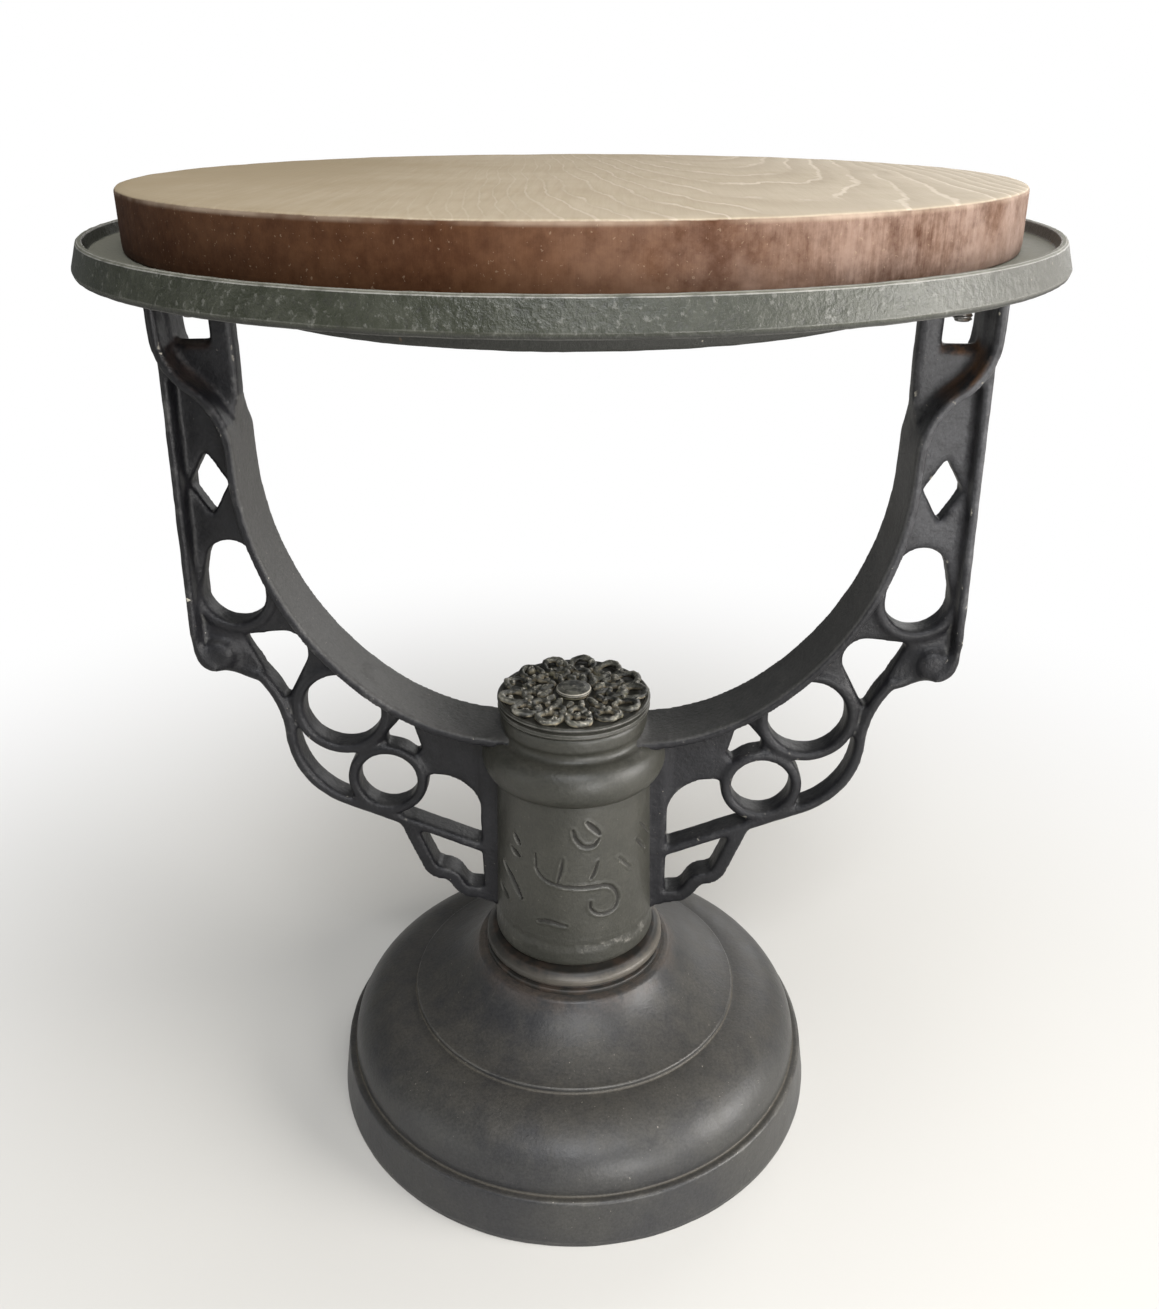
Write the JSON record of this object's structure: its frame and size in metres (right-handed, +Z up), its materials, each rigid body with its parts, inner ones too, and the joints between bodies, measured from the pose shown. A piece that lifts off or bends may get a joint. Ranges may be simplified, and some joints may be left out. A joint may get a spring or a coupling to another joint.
{
  "type": "swivel stool",
  "caption": "Low cast-iron stool: a bell base and spindle carry a turning hub with pierced scroll arms, a round pan and a wooden seat board.",
  "frame": {"origin": "centre of the base's foot ring, on the floor", "axes": "+Z up along the spindle, X along the two arms, -Y towards the front of the picture"},
  "size_m": [0.3779, 0.378, 0.4575],
  "materials": {
    "black_iron": "old black paint over cast iron, satin, worn at edges",
    "grey_iron": "pebbly graphite-grey cast iron, worn light at the rim",
    "rubbed_iron": "turned bead, rubbed bright with brown in the corners",
    "dusty_iron": "dark ornament with tan dust in its hollows",
    "plain_steel": "plain dull steel",
    "stained_wood": "stained hardwood, dull taupe top and red-brown edge"
  },
  "bodies": {
    "stand": {"base_casting": "black_iron", "spindle": "plain_steel", "spindle_washer": "plain_steel", "spindle_nut": "plain_steel", "thrust_ring": "rubbed_iron", "thrust_washer": "plain_steel", "retaining_washer": "plain_steel", "retaining_nut": "plain_steel", "cap_plate": "black_iron", "rosette": "dusty_iron", "cap_screw": "dusty_iron"},
    "swivel": {"yoke_casting": "black_iron", "seat_pan": "grey_iron", "seat_board": "stained_wood", "pan_bolts": "plain_steel", "pan_washers": "plain_steel", "pan_nuts": "plain_steel", "board_screws": "plain_steel"}
  },
  "joints": [
    {"name": "seat_swivel", "type": "hinge", "parent": "stand", "child": "swivel", "pos_m": [0, 0, 0.0945], "axis": [0, 0, 1], "continuous": true}
  ]
}
